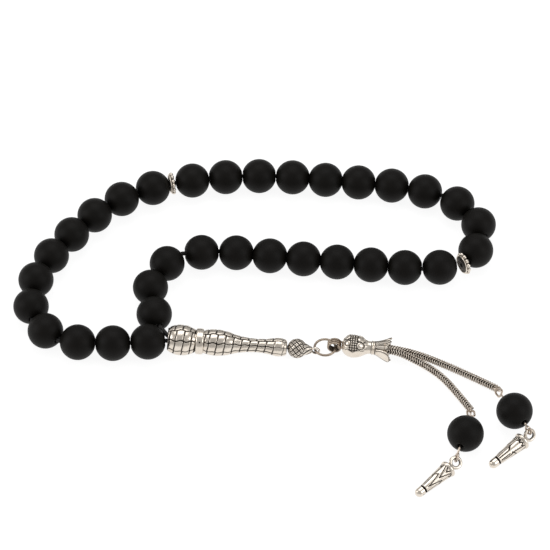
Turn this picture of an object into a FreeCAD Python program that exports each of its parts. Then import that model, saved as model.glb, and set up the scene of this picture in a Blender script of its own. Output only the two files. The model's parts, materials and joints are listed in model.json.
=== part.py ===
"""Misbaha: a loop of 33 bored stone beads, two spacers, a cast imame and a two-chain tassel.

It lies flat on a table, so every round piece rests at its own radius above z = 0.
X runs along the loop, Y across it, Z up. All sizes are millimetres, all angles degrees.
"""
import FreeCAD, Part
import math
import os

import Sketcher
from FreeCAD import Placement, Rotation, Vector

doc = FreeCAD.newDocument("misbaha")
sheet = doc.addObject("Spreadsheet::Sheet", "Sizes")

SIZES = (
    # stone beads
    ("bead_dia", 10.0), ("bead_flat", 2.9), ("bead_bevel", 0.25), ("bead_gap", 0.08),
    # thread
    ("thread_dia", 1.2), ("thread_bend", 0.7), ("strand_gap", 0.1), ("strand_end_gap", 0.45),
    ("return_back", 0.85), ("return_across", 0.6), ("return_up", 0.1),
    # cast spacer
    ("spacer_dia", 6.4), ("spacer_thick", 1.5), ("spacer_hub_dia", 3.0), ("spacer_web", 0.6),
    ("granule_dia", 1.2),
    # imame, measured from its mouth
    ("imame_long", 33.3), ("imame_mouth_dia", 6.2), ("imame_recess_dia", 5.2), ("imame_recess_deep", 2.0),
    ("imame_bulb_dia", 8.6), ("imame_bulb_at", 3.7), ("imame_neck_dia", 6.2),
    ("imame_collar_dia", 7.4), ("imame_collar_wide", 2.2), ("imame_collar_at", 8.95),
    ("imame_body_dia", 7.4), ("imame_body_at", 13.2), ("imame_taper_dia", 5.2), ("imame_taper_at", 18.8),
    ("imame_waist_dia", 3.7), ("imame_waist_at", 25.0), ("imame_foot_dia", 5.2), ("imame_foot_at", 31.1),
    ("imame_end_dia", 4.2), ("imame_pivot_at", 1.2),
    # terminal bead and the knot it hides
    ("terminal_dia", 5.5), ("terminal_shoulder_dia", 3.85), ("terminal_reach", 5.2), ("terminal_neck_dia", 2.0),
    ("eye_wall", 0.45), ("eye_thick", 0.8), ("knot_dia", 2.4), ("knot_room", 0.2),
    # jump ring and coil bail
    ("ring_dia", 6.4), ("ring_wire", 0.55), ("bail_dia", 3.9), ("bail_wire", 0.55), ("bail_turns", 3),
    ("bail_pitch", 0.5),
    # tassel cap, measured from the pole of its bulb
    ("cap_long", 13.4), ("cap_crown_at", 0.5), ("cap_bulb_dia", 6.4), ("cap_bulb_at", 3.2),
    ("cap_shoulder_dia", 4.8), ("cap_shoulder_at", 6.2), ("cap_neck_dia", 3.3), ("cap_neck_at", 8.3),
    ("cap_band_dia", 3.9), ("cap_band_wide", 1.0), ("cap_skirt_dia", 5.8), ("cap_floor_at", 11.9),
    ("cap_flare_dia", 6.2), ("cap_wall", 0.35), ("cap_slot", 0.5),
    ("hanger_wire", 0.45), ("hanger_shank_dia", 0.405), ("hanger_room", 0.12), ("hanger_plate", 0.3),
    # foxtail chains and the small end rings
    ("chain_dia", 2.4), ("link_dia", 2.5), ("link_wire", 0.5),
    # eye pins through the tassel beads
    ("pin_wire", 0.6), ("pin_loop_long", 4.8), ("pin_loop_wide", 2.6), ("pin_eye_dia", 2.8),
    # cone charms, measured from the centre of the eye
    ("charm_long", 14.8), ("charm_eye_dia", 3.9), ("charm_eye_wire", 1.0), ("charm_stem_dia", 1.6),
    ("charm_collar_dia", 4.9), ("charm_collar_at", 2.4), ("charm_collar_wide", 1.0), ("charm_body_dia", 4.3),
    ("charm_tip_dia", 2.6), ("charm_groove_dia", 2.2), ("charm_groove_at", 12.0), ("charm_groove_wide", 0.4),
    # clearances
    ("thread_room", 0.4), ("imame_room", 0.2), ("ring_room", 1.15), ("shank_room", 0.495),
    ("turn_gap", 0.05), ("seat_gap", 0.15), ("open_gap", 0.4), ("chain_gap", 0.35), ("table_gap", 0.05),
    ("swing", 15.0),
)
for row, (alias, value) in enumerate(SIZES, start=1):
    sheet.set(f"A{row}", alias)
    sheet.set(f"B{row}", str(value))
    sheet.setAlias(f"B{row}", alias)
doc.recompute()


def size(expression):
    """The number that an expression on the sheet's cells gives now."""
    return float(sheet.evalExpression(expression))


def S(alias):
    return f"Sizes.{alias}"


# What a thread, a ring or a shank passes through takes its bore from it and a clearance.
thread_bore = f"({S('thread_dia')} + {S('thread_room')})"
imame_bore = f"(2 * {S('thread_dia')} + {S('strand_gap')} + {S('imame_room')})"
eye_hole = f"({S('ring_wire')} + {S('ring_room')})"
cap_bore = f"({S('hanger_shank_dia')} + {S('shank_room')})"


# ---------------------------------------------------------------- turned pieces
def arc_radius(first, second):
    """An arc between two corners that stands square to one of their radii."""
    across, along = f"({first[0]} - ({second[0]}))", f"({first[1]} - ({second[1]}))"
    return f"({along}^2 + {across}^2) / (2 * abs({across}))"


def arc_edge(start, end, kind, radius):
    """The arc's curve, and whether it runs from end to start.

    A swell crests at the fuller corner, a hollow dips at the thinner one.
    """
    fuller = start if start.x > end.x else end
    thinner = end if fuller is start else start
    if kind == "ball":
        centre = Vector(0, 0, 0)
    elif kind == "swell":
        centre = Vector(fuller.x - radius, fuller.y, 0)
    else:
        centre = Vector(thinner.x + radius, thinner.y, 0)
    first = math.atan2(start.y - centre.y, start.x - centre.x)
    last = math.atan2(end.y - centre.y, end.x - centre.x)
    backwards = math.sin(last - first) < 0
    if backwards:
        first, last = last, first
    return Part.ArcOfCircle(Part.Circle(centre, Vector(0, 0, 1), radius), first, last), backwards


def turned(label, outline):
    """A body of revolution about its own Z.

    Each corner is (radius, height) and, where an arc leads to it, the arc's kind.
    """
    body = doc.addObject("PartDesign::Body", label)
    sketch = body.newObject("Sketcher::SketchObject", label + "_profile")
    plane = next(feature for feature in body.Origin.OriginFeatures if feature.Role == "XZ_Plane")
    sketch.AttachmentSupport = [(plane, "")]
    sketch.MapMode = "FlatFace"
    corners = [Vector(size(corner[0]), size(corner[1]), 0) for corner in outline]
    ends = []
    for index in range(len(outline)):
        before = index - 1
        start, end = corners[before], corners[index]
        kind = outline[index][2] if len(outline[index]) > 2 else None
        if kind is None:
            edge = sketch.addGeometry(Part.LineSegment(start, end), False)
            ends.append((edge, 1, 2))
            continue
        rule = arc_radius(outline[before], outline[index])
        if kind == "ball":
            rule = f"sqrt(({outline[index][0]})^2 + ({outline[index][1]})^2)"
        curve, backwards = arc_edge(start, end, kind, size(rule))
        edge = sketch.addGeometry(curve, False)
        ends.append((edge, 2, 1) if backwards else (edge, 1, 2))
        held = sketch.addConstraint(Sketcher.Constraint("Radius", edge, size(rule)))
        sketch.setExpression(f"Constraints[{held}]", rule)
    for index, (edge, _, last) in enumerate(ends):
        following, first, _ = ends[(index + 1) % len(ends)]
        sketch.addConstraint(Sketcher.Constraint("Coincident", edge, last, following, first))
        hold(sketch, "DistanceX", edge, last, outline[index][0], corners[index].x, -2)
        hold(sketch, "DistanceY", edge, last, outline[index][1], corners[index].y, -1)
    turn = body.newObject("PartDesign::Revolution", label + "_turn")
    turn.Profile = sketch
    turn.ReferenceAxis = (sketch, ["V_Axis"])
    turn.Angle = 360
    body.Tip = turn
    return body


def hold(sketch, kind, edge, end, rule, value, axis):
    """Ties one end of an edge to its place, or to an axis where that place is zero."""
    if abs(value) < 1e-9:
        sketch.addConstraint(Sketcher.Constraint("PointOnObject", edge, end, axis))
        return
    held = sketch.addConstraint(Sketcher.Constraint(kind, -1, 1, edge, end, value))
    sketch.setExpression(f"Constraints[{held}]", rule)


# ---------------------------------------------------------------- primitives
def primitive(kind, label, at=None, turn=None, **rules):
    """A Part primitive whose sizes, and places along its own axes, follow the sheet."""
    item = doc.addObject(f"Part::{kind}", label)
    if turn is not None:
        item.Placement = Placement(Vector(), turn)
    for name, rule in rules.items():
        item.setExpression(name, rule)
    for axis, rule in (at or {}).items():
        item.setExpression(f"Placement.Base.{axis}", rule)
    return item


def cut(label, base, tool):
    item = doc.addObject("Part::Cut", label)
    item.Base, item.Tool = base, tool
    return item


def fused(label, items):
    item = doc.addObject("Part::MultiFuse", label)
    item.Shapes = items
    return item


def solid(label, shape):
    item = doc.addObject("Part::Feature", label)
    item.Shape = shape
    return item


# ---------------------------------------------------------------- wires and cords
def flat_direction(heading):
    return Vector(math.cos(math.radians(heading)), math.sin(math.radians(heading)), 0)


def unit(vector):
    return vector * (1 / vector.Length)


FREE_ARC_SHARE = 0.45
STRAIGHT_ENOUGH = math.radians(0.5)


def rounded_path(points, bend=None):
    """Straight runs through the points, joined by tangent arcs, as a list of edges with each arc's radius.

    A free cord's arcs take most of half the shorter run beside them. A thread held in its bores bends within a
    set length.
    """
    edges, radii, at = [], [], points[0]
    for index in range(1, len(points) - 1):
        corner = points[index]
        back, ahead = points[index - 1] - corner, points[index + 1] - corner
        reach = bend if bend is not None else FREE_ARC_SHARE * min(back.Length, ahead.Length)
        turn = math.pi - back.getAngle(ahead)
        if turn < STRAIGHT_ENOUGH:
            continue
        start, end = corner + unit(back) * reach, corner + unit(ahead) * reach
        radius = reach / math.tan(turn / 2)
        middle = corner + unit(unit(back) + unit(ahead)) * (radius / math.cos(turn / 2) - radius)
        edges.append(Part.LineSegment(at, start).toShape())
        edges.append(Part.Arc(start, middle, end).toShape())
        radii.append(radius)
        at = end
    edges.append(Part.LineSegment(at, points[-1]).toShape())
    return edges, radii


def swept(edges, radius):
    """A round bar along the edges."""
    path = Part.Wire(edges)
    start = edges[0].valueAt(edges[0].FirstParameter)
    heading = edges[0].tangentAt(edges[0].FirstParameter)
    section = Part.Wire([Part.Circle(start, heading, radius).toShape()])
    bar = path.makePipeShell([section], True, False)
    if abs(bar.Volume / (math.pi * radius**2 * path.Length) - 1) > 0.01:
        raise ValueError("a sweep has the wrong volume")
    return bar


def rod(points, radius):
    """Straight bars through the points, with a ball at each corner."""
    bar = None
    for start, end in zip(points, points[1:]):
        piece = Part.makeCylinder(radius, (end - start).Length, start, end - start)
        bar = piece if bar is None else bar.fuse([Part.makeSphere(radius, start), piece])
    return bar


def oval_ring(centre, along, across, half_long, half_wide, radius):
    """A closed ring of round wire: two straight sides and two half circles, or a plain circle."""
    straight = half_long - half_wide
    if straight < 1e-6:
        return Part.makeTorus(half_wide, radius, centre, along.cross(across))
    sides = []
    for way in (1, -1):
        tip = centre + along * (half_long * way)
        left = centre + along * (straight * way) + across * (half_wide * way)
        right = centre + along * (straight * way) - across * (half_wide * way)
        sides.append(Part.Arc(left, tip, right).toShape())
        sides.append(Part.LineSegment(right, right - along * (2 * straight * way)).toShape())
    ring = Part.Wire(sides)
    start = sides[0].valueAt(sides[0].FirstParameter)
    section = Part.Wire([Part.Circle(start, along, radius).toShape()])
    return ring.makePipeShell([section], True, False)


# ---------------------------------------------------------------- the loop's lie on the table
# The way each bead's bore points, by stretch. The loop bends only in the gaps between beads.
LEFT = (185, 181, 175, 136, 97, 73, 60, 53, 47, 33, 19)
LEFT_SPACER = 13
TOP = (11, 5, 0, -6, -6, -6, -9, -18)
END = (-37, -73, -121)
END_SPACER = -151
SECOND = (-173, -186, -186, -187, -187, -187, -187, -175)
RETURN = (-138, -95, -70)
STRETCHES = (
    ("left", LEFT, LEFT_SPACER), ("top", TOP, None), ("end", END, END_SPACER), ("second", SECOND, None),
    ("return", RETURN, None),
)
# From the imame's mouth to the flat of the first bead.
LOOP_START = Vector(-0.65, -0.95, 0)
IMAME_HEADING = -2.5
TERMINAL_HEADING = -9
RING_HEADING = 24
BAIL_AT_HEADING = 12
BAIL_HEADING = -4
CAP_HEADING = -6.5

bead_half = f"(sqrt({S('bead_dia')}^2 - {S('bead_flat')}^2) / 2)"


def bead_reach(bend):
    """From a bead's centre to the corner of the thread where the next piece is turned by bend."""
    half_turn = math.radians(abs(bend)) / 2
    radius, flat = size(S("bead_dia")) / 2, size(S("bead_flat")) / 2
    if half_turn > math.asin(flat / radius):
        support = radius
    else:
        support = size(bead_half) * math.cos(half_turn) + flat * math.sin(half_turn)
    return (support + size(S("bead_gap")) / 2) / math.cos(half_turn)


def spacer_reach(bend):
    half_turn = math.radians(abs(bend)) / 2
    support = size(S("spacer_thick")) / 2 * math.cos(half_turn)
    support += size(S("spacer_hub_dia")) / 2 * math.sin(half_turn)
    return (support + size(S("bead_gap")) / 2) / math.cos(half_turn)


def lay_loop():
    """Every strung piece's place and heading, each stretch of thread's corners, and the pivots between them."""
    strung = []
    for name, beads, spacer in STRETCHES:
        pieces = [("bead", heading) for heading in beads]
        if spacer is not None:
            pieces.append(("spacer", spacer))
        strung += [(name, kind, heading, index == 0) for index, (kind, heading) in enumerate(pieces)]
    corner = LOOP_START + Vector(0, 0, size(S("bead_dia")) / 2)
    places, corners, pivots = [], {}, {}
    bend = 0
    for index, (name, kind, heading, first) in enumerate(strung):
        reach = bead_reach if kind == "bead" else spacer_reach
        extra = size(S("open_gap")) / 2
        if first:
            corners[name] = [corner]
            pivots[name] = corner
        near = reach(bend) + (extra if first and name == "second" else 0)
        centre = corner + flat_direction(heading) * near
        bend, opens = 0, False
        if index + 1 < len(strung):
            after = strung[index + 1]
            bend = abs(after[2] - heading) + (size(S("swing")) if after[3] else 0)
            opens = after[3] and after[0] == "second"
        corner = centre + flat_direction(heading) * (reach(bend) + (extra if opens else 0))
        corners[name].append(corner)
        places.append((name, kind, heading, centre))
    return places, corners, pivots


PLACES, CORNERS, PIVOTS = lay_loop()


# ---------------------------------------------------------------- where the tassel's pieces lie
def tilt_on_table(first_dia, first_at, second_dia, second_at):
    """How far a turned piece's axis tips when it rests on its two fullest rounds."""
    fall = (size(first_dia) - size(second_dia)) / 2
    return math.degrees(math.asin(fall / (size(second_at) - size(first_at))))


def tipped(heading, tilt):
    """A direction at this heading, tipped down by tilt."""
    level = flat_direction(heading) * math.cos(math.radians(tilt))
    return level - Vector(0, 0, math.sin(math.radians(tilt)))


imame_tilt = tilt_on_table(S("imame_bulb_dia"), S("imame_bulb_at"), S("imame_foot_dia"), S("imame_foot_at"))
imame_axis = tipped(IMAME_HEADING, imame_tilt)
lift = size(S("imame_bulb_dia")) / 2 / math.cos(math.radians(imame_tilt)) + size(S("table_gap"))
mouth = Vector(0, 0, lift + size(S("imame_bulb_at")) * math.sin(math.radians(imame_tilt)))
imame_side = flat_direction(IMAME_HEADING + 90)
imame_pivot = mouth + imame_axis * size(S("imame_pivot_at"))
imame_end = mouth + imame_axis * size(S("imame_long"))

terminal_pivot = imame_end + imame_axis * size(S("seat_gap"))
terminal_way = flat_direction(TERMINAL_HEADING)
terminal_radius = size(S("terminal_dia")) / 2
terminal_centre = terminal_pivot + terminal_way * terminal_radius
terminal_centre.z = terminal_radius
terminal_eye = terminal_centre + terminal_way * size(S("terminal_reach"))

ring_radius = (size(S("ring_dia")) - size(S("ring_wire"))) / 2
ring_centre = terminal_eye + flat_direction(RING_HEADING) * ring_radius
bail_pivot = ring_centre + flat_direction(BAIL_AT_HEADING) * ring_radius
bail_way = flat_direction(BAIL_HEADING)
bail_radius = (size(S("bail_dia")) - size(S("bail_wire"))) / 2
cap_height = size(S("cap_bulb_dia")) / 2
bail_centre = bail_pivot - bail_way * (size(S("ring_wire")) / 2)
bail_centre.z = (terminal_radius + cap_height) / 2
cap_pivot = bail_centre + bail_way * bail_radius
cap_pivot.z = cap_height
cap_way = flat_direction(CAP_HEADING)
hanger_half_long = (size(S("bail_wire")) + size(S("hanger_wire"))) / 2 + size(S("hanger_room"))
bail_wide = size(S("bail_pitch")) * (size(S("bail_turns")) - 1) + size(S("bail_wire"))
hanger_half_wide = (bail_wide + size(S("hanger_wire"))) / 2 + 2 * size(S("hanger_room"))
cap_pole = cap_pivot + cap_way * (
    hanger_half_long + size(S("hanger_wire")) / 2 + size(S("turn_gap")) - size(S("cap_crown_at"))
)
chain_start_at = size(S("cap_floor_at")) + size(S("hanger_plate")) + size(S("chain_gap"))
cap_mouth = cap_pole + cap_way * chain_start_at

# Each chain's corners from the centre of the cap's mouth. They leave the cap one above the other and lie down
# on the table, where the last corners rest at the chain's own radius.
FRONT_CHAIN = (
    (-0.1, -0.95, 0.75), (3.3, -1.5, 0.45), (7.1, -2.8, -0.95), (11.5, -4.9, None), (15.7, -9.0, None),
    (19.3, -14.5, None), (22.6, -20.1, None),
)
BACK_CHAIN = (
    (0.1, 0.95, -0.75), (4.5, 0.4, -1.25), (9.7, -0.8, None), (16.1, -4.1, None), (23.1, -8.2, None),
    (29.9, -12.5, None),
)
FRONT_SPLIT = 3
BACK_SPLIT = 2


def chain_points(corners):
    resting = size(S("chain_dia")) / 2 + size(S("table_gap"))
    points = []
    for along, across, up in corners:
        point = cap_mouth + Vector(along, across, 0)
        point.z = resting if up is None else cap_mouth.z + up
        points.append(point)
    return points


class Strand:
    """One chain of the tassel with its eye pin, bead and charm, and the pivots between them."""

    def __init__(self, side, corners, split, chain_to_hole, bead_heading, pin_roll, hole_to_charm, charm_heading,
                 charm_roll):
        self.side, self.pin_roll, self.charm_roll = side, pin_roll, charm_roll
        self.points = chain_points(corners)
        self.split = (self.points[split] + self.points[split + 1]) * 0.5
        self.split_index = split
        end = self.points[-1]
        radius = size(S("bead_dia")) / 2
        self.bead_way = flat_direction(bead_heading)
        exit_reach = size(bead_half) + size(S("pin_wire"))
        self.bead_top = end + Vector(*chain_to_hole, 0)
        self.bead_top.z = radius
        self.bead_centre = self.bead_top + self.bead_way * exit_reach
        self.bead_bottom = self.bead_centre + self.bead_way * exit_reach
        self.pin_way = unit(self.bead_top - end)
        level_side = unit(self.pin_way.cross(Vector(0, 0, 1)))
        self.pin_side = Rotation(self.pin_way, pin_roll).multVec(level_side)
        self.link_radius = (size(S("link_dia")) - size(S("link_wire"))) / 2
        self.link_centre = end + self.pin_way * self.link_radius
        self.charm_tilt = tilt_on_table(
            S("charm_collar_dia"), S("charm_collar_at"), S("charm_tip_dia"), S("charm_long")
        )
        self.charm_way = tipped(charm_heading, self.charm_tilt)
        self.charm_eye = self.bead_bottom + Vector(*hole_to_charm, 0)
        slope = math.radians(self.charm_tilt)
        collar_height = size(S("charm_collar_dia")) / 2 * math.cos(slope)
        collar_height += size(S("charm_collar_wide")) * math.sin(slope)
        self.charm_eye.z = collar_height + size(S("charm_collar_at")) * math.sin(slope) + size(S("table_gap"))
        level_side = flat_direction(charm_heading + 90)
        up = level_side.cross(self.charm_way) * -1
        roll = math.radians(charm_roll)
        self.charm_normal = up * math.cos(roll) + level_side * math.sin(roll)
        eye_radius = (size(S("charm_eye_dia")) - size(S("charm_eye_wire"))) / 2
        toward = self.bead_bottom - self.charm_eye
        toward = unit(toward - self.charm_normal * toward.dot(self.charm_normal))
        self.charm_pivot = self.charm_eye + toward * eye_radius
        self.eye_tangent = self.charm_normal.cross(toward)
        rise = self.bead_bottom - self.charm_pivot
        self.eye_rise = unit(rise - self.eye_tangent * rise.dot(self.eye_tangent))


STRANDS = (
    Strand("front", FRONT_CHAIN, FRONT_SPLIT, (-0.1317, -6.3493), 249.7, 0, (-1.0317, -3.2493), 222.5, 34),
    Strand("back", BACK_CHAIN, BACK_SPLIT, (1.6507, -6.4696), -59.3, 55, (1.1507, -2.0696), 221, 57),
)


# ---------------------------------------------------------------- strung pieces
def make_bead(label):
    bore, flat, half = f"{thread_bore} / 2", f"{S('bead_flat')} / 2", bead_half
    bevel = S("bead_bevel")
    return turned(label, (
        (bore, f"-{half} + {bevel}"), (f"{bore} + {bevel}", f"-{half}"), (flat, f"-{half}"),
        (flat, half, "ball"), (f"{bore} + {bevel}", half), (bore, f"{half} - {bevel}"),
    ))


def make_spacer(label):
    """A hub on a thin web, with a ring of round granules at its edge."""
    hub = primitive("Cylinder", label + "_hub", {"z": f"-{S('spacer_thick')} / 2"},
                    Radius=f"{S('spacer_hub_dia')} / 2", Height=S("spacer_thick"))
    web = primitive("Cylinder", label + "_web", {"z": f"-{S('spacer_web')} / 2"},
                    Radius=f"({S('spacer_dia')} - {S('granule_dia')}) / 2", Height=S("spacer_web"))
    circle = size(S("spacer_dia")) - size(S("granule_dia"))
    count = int(math.pi * circle / size(S("granule_dia")))
    granules = []
    for index in range(count):
        angle = 360 / count * index
        granules.append(primitive(
            "Sphere", f"{label}_granule_{index + 1}",
            {"x": f"({S('spacer_dia')} - {S('granule_dia')}) / 2 * cos({angle} deg)",
             "y": f"({S('spacer_dia')} - {S('granule_dia')}) / 2 * sin({angle} deg)"},
            Radius=f"{S('granule_dia')} / 2"))
    blank = fused(label + "_blank", [hub, web] + granules)
    bore = primitive("Cylinder", label + "_bore", {"z": f"-{S('spacer_thick')}"},
                     Radius=f"{thread_bore} / 2", Height=f"2 * {S('spacer_thick')}")
    return cut(label, blank, bore)


def cup(shape, pivot, bend):
    """Hollows the end of a bar at a pivot, so that a round-ended bar beyond it can turn by bend."""
    radius = size(S("thread_dia")) / 2
    return shape.cut(Part.makeSphere(radius / math.cos(math.radians(bend)) + size(S("turn_gap")), pivot))


def headings_at(name):
    """The bend at rest where a stretch of thread begins."""
    names = [stretch[0] for stretch in STRETCHES]
    before = STRETCHES[names.index(name) - 1]
    last = before[2] if before[2] is not None else before[1][-1]
    return abs(STRETCHES[names.index(name)][1][0] - last)


def make_threads():
    radius, bend = size(S("thread_dia")) / 2, size(S("thread_bend"))
    swing = size(S("swing"))
    strand = radius + size(S("strand_gap")) / 2
    short = imame_pivot - imame_axis * size(S("strand_end_gap"))
    left_end, return_end = short - imame_side * strand, short + imame_side * strand
    left = swept(rounded_path([left_end] + CORNERS["left"], bend / 2)[0], radius)
    left = cup(left, PIVOTS["top"], headings_at("top") + swing)
    entry = return_end + Vector(-size(S("return_back")), size(S("return_across")), size(S("return_up")))
    back = swept(rounded_path(CORNERS["return"] + [entry, return_end], bend / 2)[0], radius)
    back = cup(back, PIVOTS["return"], headings_at("return") + swing)
    solid("thread_root", Part.makeCompound([left, back]))
    balls = {"top": [PIVOTS["top"]], "end": [PIVOTS["end"]], "second": [PIVOTS["return"]]}
    cups = {"top": [("end", PIVOTS["end"])], "end": [], "second": []}
    for name in ("top", "end", "second"):
        bar = swept(rounded_path(CORNERS[name], bend / 2)[0], radius)
        bar = bar.fuse([Part.makeSphere(radius, pivot) for pivot in balls[name]])
        for after, pivot in cups[name]:
            bar = cup(bar, pivot, headings_at(after) + swing)
        if name in ("end", "second"):
            room = Part.makeSphere(radius + size(S("open_gap")), PIVOTS["second"])
            bar = bar.cut(room)
        solid("thread_" + name, bar)


# ---------------------------------------------------------------- imame and terminal bead
def make_imame():
    def corner(dia, at, *kind):
        return (f"{S(dia)} / 2", at, *kind)

    collar_near = f"({S('imame_collar_at')} - {S('imame_collar_wide')} / 2)"
    collar_far = f"({S('imame_collar_at')} + {S('imame_collar_wide')} / 2)"
    piece = turned("imame", (
        corner("imame_recess_dia", "0"),
        corner("imame_mouth_dia", "0"),
        corner("imame_bulb_dia", S("imame_bulb_at"), "swell"),
        corner("imame_neck_dia", collar_near, "swell"),
        corner("imame_collar_dia", collar_near),
        corner("imame_collar_dia", collar_far),
        corner("imame_neck_dia", collar_far),
        corner("imame_body_dia", S("imame_body_at"), "swell"),
        corner("imame_taper_dia", S("imame_taper_at"), "swell"),
        corner("imame_waist_dia", S("imame_waist_at"), "hollow"),
        corner("imame_foot_dia", S("imame_foot_at"), "hollow"),
        corner("imame_end_dia", S("imame_long"), "swell"),
        (f"{imame_bore} / 2", S("imame_long")),
        (f"{imame_bore} / 2", S("imame_recess_deep")),
        corner("imame_recess_dia", S("imame_recess_deep")),
    ))
    piece.Placement = Placement(mouth, Rotation(Vector(0, 0, 1), imame_axis))
    radius = size(S("thread_dia")) / 2
    strand = radius + size(S("strand_gap")) / 2
    start = imame_pivot + imame_axis * size(S("turn_gap"))
    length = (imame_end - start).Length - size(S("turn_gap"))
    strands = [
        Part.makeCylinder(radius, length, start + imame_side * (strand * way), imame_axis) for way in (1, -1)
    ]
    solid("imame_cord", Part.makeCompound(strands))


def make_terminal():
    """A hollow round bead for the knot, drawn out to a flat eye."""
    radius, bore = f"{S('terminal_dia')} / 2", f"{thread_bore} / 2"
    neck = f"{S('terminal_neck_dia')} / 2"
    room = f"({S('knot_dia')} / 2 + {S('knot_room')})"
    on_ball = f"sqrt(({radius})^2 - ({bore})^2)"
    shoulder = f"({S('terminal_shoulder_dia')} / 2)"
    shoulder_at = f"sqrt(({radius})^2 - {shoulder}^2)"
    base = turned("terminal_blank", (
        ("0", room), (room, room), (room, f"-{room}"), (bore, f"-{room}"), (bore, f"-{on_ball}"),
        (shoulder, shoulder_at, "ball"),
        (neck, f"{S('terminal_reach')} - {eye_hole} / 2 - {S('eye_wall')}"),
        ("0", f"{S('terminal_reach')} - {eye_hole} / 2 - {S('eye_wall')} / 2"),
    ))
    lying = Rotation(Vector(1, 0, 0), 90)
    outer = primitive("Cylinder", "terminal_eye", {"z": S("terminal_reach"), "y": f"{S('eye_thick')} / 2"}, lying,
                      Radius=f"{eye_hole} / 2 + {S('eye_wall')}", Height=S("eye_thick"))
    hole = primitive("Cylinder", "terminal_eye_hole", {"z": S("terminal_reach"), "y": S("eye_thick")}, lying,
                     Radius=f"{eye_hole} / 2", Height=f"2 * {S('eye_thick')}")
    piece = cut("terminal_bead", fused("terminal_whole", [base, outer]), hole)
    # The eye's hole stays level, so the ring that passes through it lies flat.
    level = Rotation(terminal_way, Vector(0, 0, 1).cross(terminal_way), Vector(0, 0, 1), "XYZ")
    stand = Rotation(Vector(0, 1, 0), 90)
    piece.Placement = Placement(terminal_centre, level.multiply(stand))
    bore_radius = size(S("thread_dia")) / 2
    knot = Part.makeSphere(size(S("knot_dia")) / 2, terminal_centre)
    tail_start = terminal_centre - terminal_way * terminal_radius
    tail = Part.makeCylinder(bore_radius, terminal_radius, tail_start, terminal_way)
    solid("end_knot", knot.fuse(tail))


# ---------------------------------------------------------------- ring, bail, cap and hanger
def make_ring_and_bail():
    ring = primitive("Torus", "jump_ring", Radius1=f"({S('ring_dia')} - {S('ring_wire')}) / 2",
                     Radius2=f"{S('ring_wire')} / 2")
    ring.Placement = Placement(ring_centre, Rotation())
    turns = int(size(S("bail_turns")))
    middle = f"({S('bail_turns')} - 1) / 2"
    coils = [
        primitive("Torus", f"bail_turn_{index + 1}", {"z": f"{S('bail_pitch')} * ({index} - {middle})"},
                  Radius1=f"({S('bail_dia')} - {S('bail_wire')}) / 2", Radius2=f"{S('bail_wire')} / 2")
        for index in range(turns)
    ]
    bail = fused("coil_bail", coils)
    bail.Placement = Placement(bail_centre, Rotation(Vector(0, 0, 1), flat_direction(BAIL_HEADING - 90)))


def make_cap():
    """A sack-shaped cap: bulb, tied neck and a slotted skirt that the chains leave by."""
    def half(dia):
        return f"{S(dia)} / 2"

    band_far = f"({S('cap_neck_at')} + {S('cap_band_wide')})"
    crown = f"sqrt(({half('cap_bulb_dia')})^2 - ({S('cap_bulb_at')} - {S('cap_crown_at')})^2)"
    blank = turned("cap_blank", (
        (f"{cap_bore} / 2", S("cap_crown_at")),
        (crown, S("cap_crown_at")),
        (half("cap_bulb_dia"), S("cap_bulb_at"), "swell"),
        (half("cap_shoulder_dia"), S("cap_shoulder_at"), "swell"),
        (half("cap_neck_dia"), S("cap_neck_at"), "hollow"),
        (half("cap_band_dia"), S("cap_neck_at")),
        (half("cap_band_dia"), band_far),
        (half("cap_neck_dia"), band_far),
        (half("cap_skirt_dia"), S("cap_floor_at")),
        (half("cap_flare_dia"), S("cap_long")),
        (f"{half('cap_flare_dia')} - {S('cap_wall')}", S("cap_long")),
        (f"{half('cap_skirt_dia')} - {S('cap_wall')}", S("cap_floor_at")),
        (f"{cap_bore} / 2", S("cap_floor_at")),
    ))
    slots = []
    for index, angle in enumerate((0, 90)):
        turn = Rotation(Vector(0, 0, 1), angle)
        slot = primitive("Box", f"cap_slot_{index + 1}", turn=turn, Width=S("cap_slot"),
                         Length=f"2 * {S('cap_flare_dia')}", Height=S("cap_long"))
        across, along = f"{S('cap_slot')} / 2", S("cap_flare_dia")
        slot.setExpression("Placement.Base.x", f"-{along}" if angle == 0 else across)
        slot.setExpression("Placement.Base.y", f"-{across}" if angle == 0 else f"-{along}")
        slot.setExpression("Placement.Base.z", f"{S('cap_floor_at')} + {S('hanger_plate')}")
        slots.append(slot)
    cap = cut("tassel_cap", blank, fused("cap_slots", slots))
    cap.Placement = Placement(cap_pole, Rotation(Vector(0, 0, 1), cap_way))

    wire = size(S("hanger_wire")) / 2
    side = Vector(0, 0, 1).cross(cap_way)
    loop = oval_ring(cap_pivot, side, cap_way, hanger_half_wide, hanger_half_long, wire)
    floor = cap_pole + cap_way * (size(S("cap_floor_at")) + size(S("turn_gap")))
    shank = rod([cap_pivot + cap_way * hanger_half_long, floor], size(S("hanger_shank_dia")) / 2)
    plate_radius = size(S("cap_skirt_dia")) / 2 - size(S("cap_wall")) - size(S("turn_gap"))
    plate = Part.makeCylinder(plate_radius, size(S("hanger_plate")), floor, cap_way)
    solid("hanger_pin", loop.fuse([shank, plate]))


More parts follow.
